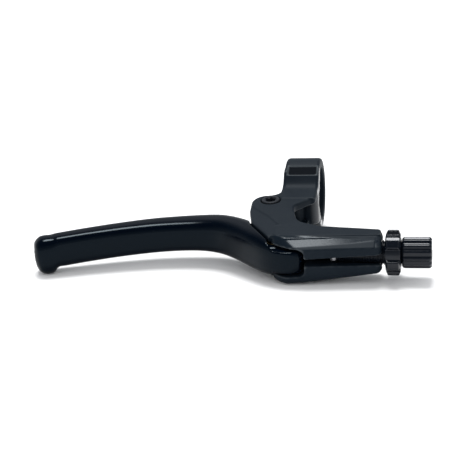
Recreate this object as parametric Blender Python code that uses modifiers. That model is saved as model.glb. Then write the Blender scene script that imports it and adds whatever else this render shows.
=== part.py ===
"""Handlebar clutch lever: clamp bracket, blade, pivot set, cable anchor, reach screw and barrel adjuster.

Frame: the origin is on the handlebar's axis inside the clamp. +X runs along the bar towards the
cable adjuster, +Y towards the rider and +Z up along the lever's pivot axis. Sizes below are in millimetres.
"""
import math

import bmesh
import bpy
from mathutils import Matrix, Vector

MM = 0.001
GAP = 0.3                        # air between neighbouring pieces

# ---- driving dimensions ----
BORE_R = 11.25                   # clamp bore for a 22.2 mm bar
RING_R = 15.3                    # outside of the clamp band
CLAMP_X = (-7.2, 7.6)            # side faces of the band, along the bar
NECK_FILLET = 10.0               # hollow curve from the band down to the upper plate
PIVOT = (-10.7, -26.0)           # pivot axis, parallel to Z
PLATE_Z = 8.6                    # outer faces of the two pivot plates
VOID_Z = 5.4                     # inner faces of the plates
TONGUE_Z = 4.6                   # half height of the blade between the plates
CABLE_Y = -57.0                  # cable and adjuster axis, parallel to X at Z = 0
ARM_START = 7.3                  # where the solid arm begins
ARM_END = 37.1                   # face that the lock ring tightens against
ANCHOR = (-5.0, CABLE_Y)         # axis of the cable anchor in the blade
CLAMP_BOLT = (-3.0, -15.3)       # axis of the clamp bolt, parallel to Z
REACH_Y = -18.1                  # axis of the reach screw, parallel to X at Z = 0
SLIT_Z = (-8.9, -8.1)            # saw cut that lets the clamp close
SLOT_NEAR = (-1.3, 1.6)          # cable slot's edges where the arm begins
SLOT_FAR = (-2.2, 1.9)           # and at the arm's end
EAR_Z = -12.0                    # underside of the clamp's free ear
POCKET_ANGLE = 64.0              # oblong pocket on the band, degrees above the front
HEAD_SEAT = 6.7                  # floor of the pivot bolt's counterbore
HUB_Z = 3.6                      # half height of the blade's hub
HUB_BORE_R = 4.6
KEEPER = (18.4, -61.6)           # axis of the small pin in the cable slot
BLADE_TIP = (-104.1, -59.6, -1.3)
BLADE_ROOT = (6.8, -63.4, 0.0)
RING_LOBE_R = 8.9                # lock ring over its lobes
RING_NOTCH_R = 7.4               # and in its notches
RING_LOBES = 6
LOBE_PHASE = 18.0                # first notch, degrees above the front
NOTCH_HALF = (14.0, 20.0)        # degrees from a notch's middle to its floor's end and to the next lobe
KNOB_R = 6.1                     # knob over its ribs
KNOB_FLUTES = 14
FLUTE_DEPTH = 0.5
KNOB_START = 44.5
KNOB_END = 56.0


# ---- scene and materials ----

def clear_scene():
    for item in list(bpy.data.objects):
        bpy.data.objects.remove(item, do_unlink=True)


def new_collection(name):
    group = bpy.data.collections.new(name)
    bpy.context.scene.collection.children.link(group)
    return group


def new_material(name, color, roughness, metallic=0.0):
    mat = bpy.data.materials.new(name)
    mat.use_nodes = True
    shader = mat.node_tree.nodes["Principled BSDF"]
    shader.inputs["Base Color"].default_value = (*color, 1.0)
    shader.inputs["Roughness"].default_value = roughness
    shader.inputs["Metallic"].default_value = metallic
    return mat


clear_scene()
PARTS = new_collection("clutch_lever")
CUTTERS = new_collection("cutters")


def place(obj, group):
    for old in list(obj.users_collection):
        old.objects.unlink(obj)
    group.objects.link(obj)
    return obj


def as_cutter(obj):
    place(obj, CUTTERS)
    obj.hide_render = True
    obj.display_type = 'WIRE'
    return obj


def as_part(obj, name, material, smooth_angle=32):
    place(obj, PARTS)
    obj.name = name
    obj.data.name = name
    obj.data.materials.clear()
    obj.data.materials.append(material)
    obj.data.shade_smooth()
    obj.data.set_sharp_from_angle(angle=math.radians(smooth_angle))
    return obj


# ---- shape helpers ----

# turns that lay a shape's own X, Y, Z along Y, Z, X or along Z, X, Y
AXIS_TURNS = {"X": Matrix(((0, 0, 1, 0), (1, 0, 0, 0), (0, 1, 0, 0), (0, 0, 0, 1))),
              "Y": Matrix(((0, 1, 0, 0), (0, 0, 1, 0), (1, 0, 0, 0), (0, 0, 0, 1))),
              "Z": Matrix.Identity(4)}


def mesh_object(name, bm):
    bmesh.ops.recalc_face_normals(bm, faces=bm.faces)
    mesh = bpy.data.meshes.new(name)
    bm.to_mesh(mesh)
    bm.free()
    obj = bpy.data.objects.new(name, mesh)
    bpy.context.scene.collection.objects.link(obj)
    return obj


def turned(name, profile, axis, at, segments=28):
    """A closed profile of (radius, height) points, turned about its height axis and laid along an axis."""
    bm = bmesh.new()
    points = [(max(r, 0.0) * MM, 0.0, h * MM) for r, h in profile]
    loop = [bm.verts.new(p) for p in points]
    edges = [bm.edges.new((loop[i], loop[i + 1])) for i in range(len(loop) - 1)]
    if profile[0][0] > 0.0:
        edges.append(bm.edges.new((loop[-1], loop[0])))
    bmesh.ops.spin(bm, geom=loop + edges, cent=(0, 0, 0), axis=(0, 0, 1), angle=math.tau,
                   steps=segments, use_merge=False)
    bmesh.ops.remove_doubles(bm, verts=bm.verts, dist=1e-6)
    obj = mesh_object(name, bm)
    obj.data.transform(AXIS_TURNS[axis])
    obj.location = Vector(at) * MM
    return obj


def arc_corner(before, corner, after, radius, steps):
    """Points of the round that replaces one corner of an outline."""
    a = (Vector(before) - Vector(corner)).normalized()
    b = (Vector(after) - Vector(corner)).normalized()
    half = a.angle(b) / 2
    reach = radius / math.tan(half)
    centre = Vector(corner) + (a + b).normalized() * (radius / math.sin(half))
    start = Vector(corner) + a * reach - centre
    end = Vector(corner) + b * reach - centre
    sweep = start.angle_signed(end)
    points = []
    for k in range(steps + 1):
        spoke = start.copy()
        spoke.rotate(Matrix.Rotation(-sweep * k / steps, 2))
        points.append(tuple(centre + spoke))
    return points


def rounded(corners, steps=4):
    """An outline of (x, y, radius) corners as a closed list of points."""
    outline = []
    count = len(corners)
    for i, (x, y, radius) in enumerate(corners):
        if radius == 0:
            outline.append((x, y))
            continue
        before = corners[i - 1][:2]
        after = corners[(i + 1) % count][:2]
        outline += arc_corner(before, (x, y), after, radius, steps)
    return outline


def to_mesh(curve_obj):
    """The mesh of a curve object, with its caps welded; the curve is removed."""
    graph = bpy.context.evaluated_depsgraph_get()
    mesh = bpy.data.meshes.new_from_object(curve_obj.evaluated_get(graph))
    obj = bpy.data.objects.new(curve_obj.name, mesh)
    obj.matrix_world = curve_obj.matrix_world
    bpy.context.scene.collection.objects.link(obj)
    bm = bmesh.new()
    bm.from_mesh(mesh)
    bmesh.ops.remove_doubles(bm, verts=bm.verts, dist=1e-6)
    bmesh.ops.recalc_face_normals(bm, faces=bm.faces)
    bm.to_mesh(mesh)
    bm.free()
    bpy.data.objects.remove(curve_obj, do_unlink=True)
    return obj


def slab(name, outline, low, high, along="Z"):
    """A flat outline given thickness from low to high: in X and Y along Z, in Y and Z along X, in Z and X along Y."""
    curve = bpy.data.curves.new(name, 'CURVE')
    curve.dimensions = '2D'
    curve.fill_mode = 'BOTH'
    curve.extrude = (high - low) / 2 * MM
    spline = curve.splines.new('POLY')
    spline.points.add(len(outline) - 1)
    for point, (u, v) in zip(spline.points, outline):
        point.co = (u * MM, v * MM, 0.0, 1.0)
    spline.use_cyclic_u = True
    obj = bpy.data.objects.new(name, curve)
    bpy.context.scene.collection.objects.link(obj)
    obj.location.z = (low + high) / 2 * MM
    bpy.context.view_layer.update()
    solid = to_mesh(obj)
    solid.data.transform(AXIS_TURNS[along] @ solid.matrix_world)
    solid.matrix_world = Matrix.Identity(4)
    return solid


def box(name, low, high):
    bm = bmesh.new()
    bmesh.ops.create_cube(bm, size=1.0)
    size = [(b - a) * MM for a, b in zip(low, high)]
    middle = [(a + b) / 2 * MM for a, b in zip(low, high)]
    bmesh.ops.scale(bm, vec=size, verts=bm.verts)
    bmesh.ops.translate(bm, vec=middle, verts=bm.verts)
    return mesh_object(name, bm)


def rod(name, radius, start, end, segments=28):
    """A plain cylinder between two points."""
    bm = bmesh.new()
    a, b = Vector(start), Vector(end)
    bmesh.ops.create_cone(bm, cap_ends=True, segments=segments, radius1=radius * MM, radius2=radius * MM,
                          depth=(b - a).length * MM)
    turn = (b - a).to_track_quat('Z', 'Y').to_matrix()
    bmesh.ops.rotate(bm, verts=bm.verts, cent=(0, 0, 0), matrix=turn)
    bmesh.ops.translate(bm, vec=(a + b) / 2 * MM, verts=bm.verts)
    return mesh_object(name, bm)


def combine(base, operation, other):
    """A live Boolean on base; other becomes a hidden helper."""
    as_cutter(other)
    mod = base.modifiers.new(operation.lower() + "_" + other.name, 'BOOLEAN')
    mod.operation = operation
    mod.object = other
    mod.solver = 'EXACT'
    return base


def cut(base, other):
    return combine(base, 'DIFFERENCE', other)


def join(base, other):
    return combine(base, 'UNION', other)


def set_origin(obj, point):
    """Moves an object's origin onto its joint's axis; the mesh stays where it is."""
    shift = Vector(point) * MM - obj.location
    obj.data.transform(Matrix.Translation(-shift))
    obj.location += shift


# ---- bracket ----

def plate_outline():
    """Plan of the two pivot plates: lobe, front edge beside the blade, arm root and neck to the clamp."""
    return rounded([
        (-7.5, -9.0, 0), (-7.5, -20.9, 5.0), (-18.9, -21.0, 6.6), (-18.0, -36.0, 20.0), (-15.7, -46.4, 0.8),
        (-7.0, -59.6, 0.8), (-4.0, -60.2, 0), (10.0, -60.0, 0), (20.0, -56.0, 0), (20.0, -51.2, 0),
        (12.0, -50.2, 8.0), (2.6, -45.8, 8.0), (-0.6, -31.5, 5.0), (7.5, -22.6, 6.0), (7.5, -9.0, 0)])


def plateau_outline():
    """The raised flat of the upper plate, which stops short of the edge beside the blade."""
    return rounded([
        (-7.2, -9.0, 0), (-7.2, -20.9, 5.2), (-18.6, -21.3, 6.4), (-17.6, -33.0, 9.0), (-9.6, -42.0, 4.0),
        (1.2, -58.6, 3.0), (7.0, -60.0, 6.0), (36.2, -56.4, 1.0), (36.2, -51.6, 1.0),
        (12.0, -50.5, 8.0), (2.4, -46.1, 8.0), (-0.9, -31.5, 5.0), (7.2, -22.8, 6.0), (7.2, -9.0, 0)])


def arm_corners(x):
    """Section of the arm at x as (y, z, radius), starting with the sloped panel's lower edge."""
    t = (x - ARM_START) / (ARM_END - ARM_START)
    turn_in = (max(1.5 - x, 0.0) / 7.5) ** 2
    front = -67.3 + 3.6 * t + 6.0 * turn_in
    panel_top = min(-60.6 + 4.0 * t, front + 7.5)
    rear = -50.0 - 0.7 * t
    top = 8.3 - 1.2 * t
    low = -9.5 + 2.6 * max(t, 0.0) + 1.0 * turn_in
    return [(front, 6.1, 0.5), (panel_top, top, 0.5), (rear, top, 1.4), (rear, low, 1.6), (front, low, 2.6)]


def arm_loft():
    """The arm: its rounded section carried along X, drawn in a little at the two ends."""
    stations = [(-6.2, 0.8), (-5.6, 0.0), (-4.4, 0.0), (-3.0, 0.0), (-1.2, 0.0), (1.5, 0.0), (ARM_START, 0.0),
                (20.0, 0.0), (ARM_END - 1.8, 0.0), (ARM_END - 1.0, 0.2), (ARM_END - 0.3, 0.8),
                (ARM_END, 1.6)]
    half_depth, half_height = 8.0, 8.5
    bm = bmesh.new()
    rings = []
    for x, inset in stations:
        ring = []
        for y, z in rounded(arm_corners(x), steps=3):
            y = CABLE_Y + (y - CABLE_Y) * (1 - inset / half_depth)
            z = z * (1 - inset / half_height)
            ring.append(bm.verts.new((x * MM, y * MM, z * MM)))
        rings.append(ring)
    count = len(rings[0])
    for near, far in zip(rings, rings[1:]):
        for i in range(count):
            j = (i + 1) % count
            bm.faces.new((near[i], near[j], far[j], far[i]))
    bm.faces.new(rings[0])
    bm.faces.new(list(reversed(rings[-1])))
    return mesh_object("arm_loft", bm)


def neck_wedge():
    """Fills between the band and the upper plate: a hollow arc that touches the band's round and the plate."""
    reach = RING_R + NECK_FILLET
    height = PLATE_Z + NECK_FILLET
    middle = -math.sqrt(reach ** 2 - height ** 2)
    start = math.atan2(height, middle) + math.pi
    outline = [(-24.0, 5.6), (-5.0, 5.6), (-5.0, 12.0)]
    steps = 10
    for k in range(steps + 1):
        angle = start + (1.5 * math.pi - start) * k / steps + math.tau
        outline.append((middle + NECK_FILLET * math.cos(angle), height + NECK_FILLET * math.sin(angle)))
    outline.append((-24.0, PLATE_Z))
    return slab("neck_wedge", outline, *CLAMP_X, along="X")


def clamp_band():
    """The band round the bar, with rounded rims, as a turned ring."""
    low, high = CLAMP_X
    corners = rounded([(BORE_R, low, 0.5), (RING_R, low, 1.2), (RING_R, high, 1.0), (BORE_R, high, 0.4)], 3)
    return turned("clamp_band", corners + corners[:1], "X", (0, 0, 0), 56)


def neck_corner():
    """Rounds the inboard vertical corner of the neck under the upper plate."""
    radius, front = 4.2, -15.9
    side = CLAMP_X[1]
    arc = arc_corner((side - 8, front), (side, front), (side, front + 8), radius, 8)
    outline = [(side - radius, -27.0)] + arc + [(side + 6, front + radius), (side + 6, -27.0)]
    return slab("neck_corner", outline, SLIT_Z[1], VOID_Z)


def band_pocket():
    """Shallow oblong recess in the top front of the band."""
    pocket = box("band_pocket", (-6.1, -2.5, -0.8), (6.1, 2.5, 3.0))
    bevel = pocket.modifiers.new("rounding", 'BEVEL')
    bevel.width = 0.5 * MM
    bevel.segments = 2
    angle = math.radians(POCKET_ANGLE)
    pocket.location = Vector((0.6, -RING_R * math.cos(angle), RING_R * math.sin(angle))) * MM
    pocket.rotation_euler = (math.pi / 2 - angle, 0, 0)
    return pocket


def tilted_cut(body, name, low_point, slope_deg):
    """Removes everything above a plane through low_point that falls towards +X."""
    block = box(name, (0, -90, 0), (80, 0, 20))
    block.location = Vector(low_point) * MM
    block.rotation_euler = (0, math.radians(slope_deg), 0)
    cut(body, block)


def add_clamp(body):
    """Band, neck wedge, clamp-bolt boss and the free ear under the saw cut."""
    bx, by = CLAMP_BOLT
    cut(body, box("neck_relief", (-9, -21.6, -20), (9, -5, SLIT_Z[1])))
    join(body, neck_wedge())
    join(body, clamp_band())
    cut(body, neck_corner())
    join(body, rod("bolt_boss", 3.8, (bx, by, SLIT_Z[1]), (bx, by, 8.0)))
    ear = rounded([(-7.5, -5, 0), (-7.5, -20.4, 4.5), (1.6, -20.4, 4.5), (4.0, -11, 2.0), (4.0, -5, 0)])
    join(body, slab("free_ear", ear, EAR_Z, SLIT_Z[0]))
    cut(body, box("saw_cut", (-9, -23, SLIT_Z[0]), (9, -3, SLIT_Z[1])))
    cut(body, rod("bar_bore", BORE_R, (-20, 0, 0), (20, 0, 0), 56))
    cut(body, band_pocket())
    cut(body, rod("clamp_bolt_hole", 2.7, (bx, by, -20), (bx, by, 5.6)))


def add_reach_boss(body):
    """Boss for the reach screw at the outer rear corner, with the low wall that ties it to the band."""
    join(body, box("rear_wall", (-17.9, -16.2, -4.0), (-7.0, -13.6, 4.0)))
    join(body, box("reach_boss", (-18.2, -21.9, -5.0), (-14.9, -13.9, 4.3)))
    join(body, box("boss_web", (-17.6, -22.6, -6.2), (-15.2, -19.8, 6.2)))
    cut(body, rod("reach_hole", 2.3, (-30, REACH_Y, 0), (-14.0, REACH_Y, 0)))
    cut(body, rod("insert_seat", 3.4, (-16.5, REACH_Y, 0), (-14.0, REACH_Y, 0)))


def add_cable_way(body):
    """Threaded bore for the adjuster, the channel behind it and the slot the cable drops in through."""
    cut(body, rod("adjuster_bore", 5.2, (19.0, CABLE_Y, 0), (60, CABLE_Y, 0)))
    cut(body, rod("cable_channel", 3.4, (-10, CABLE_Y, 0), (25, CABLE_Y, 0), 24))
    slope = [(far - near) / (ARM_END - ARM_START) for near, far in zip(SLOT_NEAR, SLOT_FAR)]
    before, after = -3.0, ARM_END - ARM_START + 5.0
    slot = [(SLOT_NEAR[0] + slope[0] * before, ARM_START + before), (SLOT_NEAR[0] + slope[0] * after,
            ARM_START + after), (SLOT_NEAR[1] + slope[1] * after, ARM_START + after),
            (SLOT_NEAR[1] + slope[1] * before, ARM_START + before)]
    cut(body, slab("cable_slot", slot, -80.0, CABLE_Y, along="Y"))
    cut(body, rod("keeper_hole", 1.6, (KEEPER[0], KEEPER[1], 0), (KEEPER[0], KEEPER[1], 5.2), 20))


def add_pivot_holes(body):
    px, py = PIVOT
    cut(body, rod("pivot_hole", 2.7, (px, py, -30), (px, py, 30)))
    cut(body, rod("head_seat", 4.1, (px, py, HEAD_SEAT), (px, py, 30)))
    cut(body, rod("nut_seat", 4.9, (px, py, -30), (px, py, -6.5), 6))


def make_bracket(material):
    body = slab("bracket", plate_outline(), -9.3, 8.3)
    join(body, slab("plateau", plateau_outline(), -8.0, PLATE_Z))
    tilted_cut(body, "arm_taper", (ARM_START, 0, PLATE_Z), 2.3)
    join(body, arm_loft())
    void = [(-40, -15.9), (12, -15.9), (12, -47), (ARM_START - 2.0, -50), (ARM_START - 2.0, -90), (-40, -90)]
    cut(body, slab("blade_space", void, -VOID_Z, VOID_Z))
    mouth = rounded([(-VOID_Z, 0.0, 0), (-VOID_Z, ARM_START, 2.0), (VOID_Z, ARM_START, 2.0), (VOID_Z, 0.0, 0)])
    cut(body, slab("root_mouth", mouth, -90.0, -50.0, along="Y"))
    add_clamp(body)
    add_reach_boss(body)
    add_cable_way(body)
    add_pivot_holes(body)
    as_part(body, "bracket", material)
    return body


# ---- lever blade ----

def catmull(p0, p1, p2, p3, t):
    """One value of the smooth curve that passes through p1 and p2."""
    return 0.5 * (2 * p1 + (p2 - p0) * t + (2 * p0 - 5 * p1 + 4 * p2 - p3) * t * t
                  + (3 * p1 - p0 - 3 * p2 + p3) * t ** 3)


def smooth_rows(rows, per_span):
    """Rows of numbers joined by a smooth curve, with per_span steps between neighbours."""
    padded = [rows[0]] + rows + [rows[-1]]
    out = []
    for i in range(1, len(padded) - 2):
        for k in range(per_span):
            quad = zip(padded[i - 1], padded[i], padded[i + 1], padded[i + 2])
            out.append([catmull(*four, k / per_span) for four in quad])
    out.append(list(rows[-1]))
    return out


# x, y, z of the blade's middle line from ball to root, half depth, half height and squareness of the section
BLADE_ROWS = [
    (-103.8, -59.5, -1.3, 3.4, 4.6, 2.4), (-102.9, -59.1, -1.25, 4.8, 6.5, 2.6), (-101.2, -58.4, -1.2, 5.5, 7.6, 2.9),
    (-99.4, -57.6, -1.2, 5.6, 7.8, 3.0), (-97.6, -56.9, -1.1, 5.4, 7.6, 3.0), (-96.4, -56.4, -0.35, 5.1, 6.8, 3.2),
    (-95.4, -55.95, 0, 5.0, 6.6, 3.3), (-93.6, -55.2, 0, 5.0, 6.65, 3.4), (-84.3, -51.25, 0, 5.1, 6.65, 3.4),
    (-72.0, -46.55, 0, 5.4, 6.6, 3.4), (-58.0, -42.35, 0, 5.8, 6.6, 3.4), (-47.0, -40.4, 0, 6.1, 6.6, 3.4),
    (-38.0, -39.75, 0, 6.3, 6.8, 3.4), (-31.0, -40.4, 0, 6.5, 7.2, 3.4), (-25.0, -42.8, 0, 6.6, 7.4, 3.4),
    (-18.3, -47.5, 0, 6.7, 7.5, 3.6), (-11.1, -53.6, 0, 6.9, 7.5, 4.0), (-5.0, -58.9, 0, 6.7, 7.2, 4.0),
    (0.2, -62.0, 0, 5.8, 6.9, 3.8), (4.6, -63.0, 0, 4.6, 5.7, 2.8), (6.4, -63.3, 0, 2.8, 3.6, 2.4)]


def section(a, b, power, count):
    """Points of a squarish oval with half sizes a and b."""
    points = []
    for k in range(count):
        angle = math.tau * k / count
        c, s = math.cos(angle), math.sin(angle)
        points.append((math.copysign(abs(c) ** (2 / power), c) * a, math.copysign(abs(s) ** (2 / power), s) * b))
    return points


def blade_loft(per_span=2, around=20):
    """The cast blade: a squarish oval carried along the curved middle line, closed by a point at each end."""
    rows = smooth_rows(BLADE_ROWS, per_span)
    bm = bmesh.new()
    rings = []
    for i, (x, y, z, a, b, power) in enumerate(rows):
        ahead, behind = rows[min(i + 1, len(rows) - 1)], rows[max(i - 1, 0)]
        along = Vector((ahead[0] - behind[0], ahead[1] - behind[1])).normalized()
        side = Vector((-along.y, along.x))
        ring = [bm.verts.new(((x + side.x * u) * MM, (y + side.y * u) * MM, (z + v) * MM))
                for u, v in section(a, b, power, around)]
        rings.append(ring)
    for near, far in zip(rings, rings[1:]):
        for i in range(around):
            j = (i + 1) % around
            bm.faces.new((near[i], near[j], far[j], far[i]))
    for ring, (x, y, z) in ((rings[0], BLADE_TIP), (rings[-1], BLADE_ROOT)):
        pole = bm.verts.new((x * MM, y * MM, z * MM))
        for i in range(around):
            bm.faces.new((ring[i], ring[(i + 1) % around], pole))
    return mesh_object("lever_blade", bm)


def tongue_outline():
    """Plan of the part of the blade that lies between the plates, round the pivot and the cable anchor."""
    px, py = PIVOT
    return rounded([
        (px - 5.5, py + 5.5, 5.4), (px + 5.5, py + 5.5, 5.4), (px + 5.3, -42.0, 6.0), (0.4, -48.0, 5.0),
        (2.2, -62.5, 3.0), (-8.0, -62.5, 3.0), (-17.5, -50.0, 1.0), (-16.6, -40.0, 5.0), (px - 5.5, -32.0, 4.0)])


def make_blade(material):
    px, py = PIVOT
    ax, ay = ANCHOR
    blade = blade_loft()
    plan = [(-16.2, -46.6), (-7.7, -60.0), (-6.9, -62.9), (-5.3, -65.4), (-2.8, -67.7), (1.5, -68.6), (12, -67.6),
            (12, -20), (-25, -20), (-25, -36), (-18.6, -36)]
    cut(blade, slab("upper_plate_room", plan, TONGUE_Z, 20))
    cut(blade, slab("lower_plate_room", plan, -20, -TONGUE_Z))
    join(blade, slab("tongue", tongue_outline(), -TONGUE_Z, TONGUE_Z))
    join(blade, box("heel", (px - 2.6, py + 2, -3.0), (px + 2.4, py + 8.9, 3.0)))
    cut(blade, rod("hub_bore", HUB_BORE_R, (px, py, -20), (px, py, 20)))
    cut(blade, rod("hub_top", 5.9, (px, py, HUB_Z), (px, py, 20)))
    cut(blade, rod("hub_bottom", 5.9, (px, py, -20), (px, py, -HUB_Z)))
    cut(blade, rod("anchor_bore", 3.6, (ax, ay, -20), (ax, ay, 20)))
    cut(blade, rod("anchor_top", 4.3, (ax, ay, 3.7), (ax, ay, 20)))
    cut(blade, rod("anchor_bottom", 4.5, (ax, ay, -20), (ax, ay, -3.0)))
    cut(blade, box("cable_cut", (ax, ay - 1.2, -9.0), (20, ay + 1.2, 1.2)))
    as_part(blade, "lever_blade", material)
    set_origin(blade, (px, py, 0))
    return blade


# ---- pivot set ----

def hex_socket(name, across_flats, start, end):
    return rod(name, across_flats / math.sqrt(3), start, end, 6)


def at_z(name, profile, centre, material, segments=28):
    """A turned piece about a vertical axis through centre."""
    return as_part(turned(name, profile, "Z", (centre[0], centre[1], 0), segments), name, material)


def ring_profile(inner, outer, low, high, edge=0.15):
    return [(inner, low), (outer - edge, low), (outer, low + edge), (outer, high - edge), (outer - edge, high),
            (inner, high)]


def make_pivot_set(steel, nylon):
    px, py = PIVOT
    bolt = at_z("pivot_bolt", [(0, -8.9), (2.1, -8.9), (2.4, -8.6), (2.4, HEAD_SEAT + 0.3), (3.8, HEAD_SEAT + 0.3),
                               (3.8, 8.5), (3.5, 8.8), (0, 8.9)], PIVOT, steel)
    cut(bolt, hex_socket("pivot_socket", 4.0, (px, py, 6.8), (px, py, 12)))
    at_z("pivot_sleeve", ring_profile(2.7, 3.2, -5.1, 5.1, 0.1), PIVOT, steel)
    nut = rod("pivot_nut", 4.5, (px, py, -9.2), (px, py, -6.8), 6)
    cut(nut, rod("nut_thread", 2.7, (px, py, -20), (px, py, 0), 32))
    as_part(nut, "pivot_nut", steel)
    for name, sign in (("upper", 1), ("lower", -1)):
        bush = [(3.5, 0.3), (4.3, 0.3), (4.3, HUB_Z + 0.3), (5.4, HUB_Z + 0.3), (5.4, 4.4), (3.5, 4.4)]
        at_z(name + "_bush", [(r, sign * h) for r, h in bush], PIVOT, nylon)
        washer = ring_profile(3.5, 5.6, 4.65, 5.1, 0.1)
        at_z(name + "_washer", [(r, sign * h) for r, h in washer], PIVOT, steel)


# ---- cable anchor ----

def make_anchor_set(brass, steel):
    ax, ay = ANCHOR
    anchor = at_z("cable_anchor", [(0, -5.0), (2.3, -5.0), (2.6, -4.7), (2.6, -2.6), (3.3, -2.6), (3.3, 4.0), (4.0, 4.0),
                                   (4.0, 4.7), (3.7, 5.0), (0, 5.0)], ANCHOR, brass)
    cut(anchor, rod("nipple_seat", 2.4, (ax - 8, ay, 0), (ax - 0.5, ay, 0), 20))
    cut(anchor, rod("wire_hole", 1.0, (ax - 8, ay, 0), (ax + 8, ay, 0), 16))
    cut(anchor, box("wire_slot", (ax - 8, ay - 0.8, -9), (ax + 8, ay + 0.8, 0)))
    at_z("anchor_washer", ring_profile(2.9, 4.2, -3.7, -3.3, 0.08), ANCHOR, steel)
    clip = at_z("anchor_clip", ring_profile(2.9, 4.0, -4.5, -4.0, 0.08), ANCHOR, steel)
    cut(clip, box("clip_mouth", (ax - 9, ay - 1.3, -6), (ax, ay + 1.3, -3)))


# ---- clamp fastener ----

def make_clamp_set(steel):
    bx, by = CLAMP_BOLT
    at_z("clamp_washer", ring_profile(2.7, 4.6, EAR_Z - 1.0, EAR_Z - 0.3), CLAMP_BOLT, steel)
    head_top = EAR_Z - 1.3
    bolt = at_z("clamp_bolt", [(0, -RING_R), (3.8, -RING_R), (4.2, 0.4 - RING_R), (4.2, head_top), (2.4, head_top),
                               (2.4, 4.4), (2.0, 4.8), (0, 4.8)], CLAMP_BOLT, steel)
    cut(bolt, hex_socket("clamp_socket", 4.0, (bx, by, -20), (bx, by, 1.5 - RING_R)))


# ---- reach adjustment ----

def make_reach_set(steel, nylon):
    tip = PIVOT[0] - 2.6 - GAP
    outline = [(0, tip), (1.2, tip), (2.0, tip - 0.8), (2.0, -19.9), (1.7, -20.2), (0, -20.2)]
    screw = turned("reach_screw", list(reversed(outline)), "X", (0, REACH_Y, 0), 20)
    cut(screw, hex_socket("reach_socket", 2.0, (-30, REACH_Y, 0), (-18.0, REACH_Y, 0)))
    as_part(screw, "reach_screw", steel)
    insert = turned("reach_insert", ring_profile(2.3, 3.1, -16.2, -14.8, 0.1), "X", (0, REACH_Y, 0), 20)
    as_part(insert, "reach_insert", nylon)


# ---- cable adjuster ----

def toothed_solid(name, outline_radius, low, high, chamfer, count):
    """A bar along the cable's axis whose section follows a radius formula, with chamfered rims."""
    bm = bmesh.new()
    rings = []
    for x, inset in ((low, chamfer), (low + chamfer, 0), (high - chamfer, 0), (high, chamfer)):
        ring = []
        for k in range(count):
            angle = math.tau * k / count
            radius = outline_radius(angle) - inset
            ring.append(bm.verts.new((x * MM, -radius * math.cos(angle) * MM, radius * math.sin(angle) * MM)))
        rings.append(ring)
    for near, far in zip(rings, rings[1:]):
        for i in range(count):
            j = (i + 1) % count
            bm.faces.new((near[i], near[j], far[j], far[i]))
    bm.faces.new(rings[0])
    bm.faces.new(list(reversed(rings[-1])))
    obj = mesh_object(name, bm)
    obj.location.y = CABLE_Y * MM
    return obj


def smooth_step(value):
    value = min(max(value, 0.0), 1.0)
    return value * value * (3 - 2 * value)


def lobe_radius(angle):
    """Lock ring: finger lobes with shallow notches between them."""
    pitch = 360.0 / RING_LOBES
    past = (math.degrees(angle) - LOBE_PHASE) % pitch
    off_notch = min(past, pitch - past)
    rise = smooth_step((off_notch - NOTCH_HALF[0]) / (NOTCH_HALF[1] - NOTCH_HALF[0]))
    return RING_NOTCH_R + (RING_LOBE_R - RING_NOTCH_R) * rise


def flute_radius(angle):
    """Knob: shallow rounded flutes."""
    return KNOB_R - FLUTE_DEPTH / 2 * (1 - math.cos(KNOB_FLUTES * angle))


def make_adjuster(material):
    barrel = toothed_solid("adjuster_barrel", flute_radius, KNOB_START, KNOB_END, 0.9, 6 * KNOB_FLUTES)
    join(barrel, turned("thread", [(0, 20.0), (4.4, 20.0), (4.9, 20.5), (4.9, KNOB_START + 3), (0, KNOB_START + 3)],
                        "X", (0, CABLE_Y, 0)))
    cut(barrel, rod("housing_seat", 2.7, (34.0, CABLE_Y, 0), (80, CABLE_Y, 0), 24))
    cut(barrel, rod("wire_way", 1.3, (0, CABLE_Y, 0), (80, CABLE_Y, 0), 16))
    cut(barrel, box("barrel_slot", (0, CABLE_Y, -1.0), (80, CABLE_Y + 20, 1.0)))
    as_part(barrel, "adjuster_barrel", material)
    ring = toothed_solid("lock_ring", lobe_radius, 38.2, 44.2, 0.9, 72)
    cut(ring, rod("ring_thread", 5.2, (30, CABLE_Y, 0), (60, CABLE_Y, 0)))
    cut(ring, box("ring_slot", (30, CABLE_Y, -1.0), (60, CABLE_Y + 20, 1.0)))
    as_part(ring, "lock_ring", material)


def make_keeper(steel):
    x, y = KEEPER
    at_z("cable_keeper", [(0, -0.7), (0.8, -0.6), (1.3, -0.1), (1.3, 4.9), (0, 4.9)], KEEPER, steel, 20)


black_paint = new_material("black_paint", (0.02, 0.02, 0.022), 0.35)
gloss_black_paint = new_material("gloss_black_paint", (0.012, 0.012, 0.014), 0.15)
black_anodised = new_material("black_anodised", (0.018, 0.018, 0.02), 0.3, 0.6)
black_steel = new_material("black_steel", (0.03, 0.03, 0.032), 0.35, 0.8)
bright_steel = new_material("bright_steel", (0.62, 0.62, 0.64), 0.25, 1.0)
brass = new_material("brass", (0.75, 0.6, 0.3), 0.3, 1.0)
nylon = new_material("nylon", (0.75, 0.74, 0.7), 0.5)

make_bracket(black_paint)
make_blade(gloss_black_paint)
make_pivot_set(black_steel, nylon)
make_anchor_set(brass, bright_steel)
make_clamp_set(black_steel)
make_reach_set(black_steel, nylon)
make_adjuster(black_anodised)
make_keeper(bright_steel)
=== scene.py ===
"""Looks of a handlebar clutch lever: painted castings, screws, bushes, cable anchor and barrel adjuster.

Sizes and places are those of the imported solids, in millimetres. +X runs along the bar towards the cable
adjuster, +Y from the blade towards the bar, and +Z up along the lever's pivot. A field is a function of x, y
and z that is negative inside a piece and positive outside it.
"""
import functools
import math

import bmesh
import bpy
import numpy as np
from mathutils import Matrix, Vector


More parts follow.
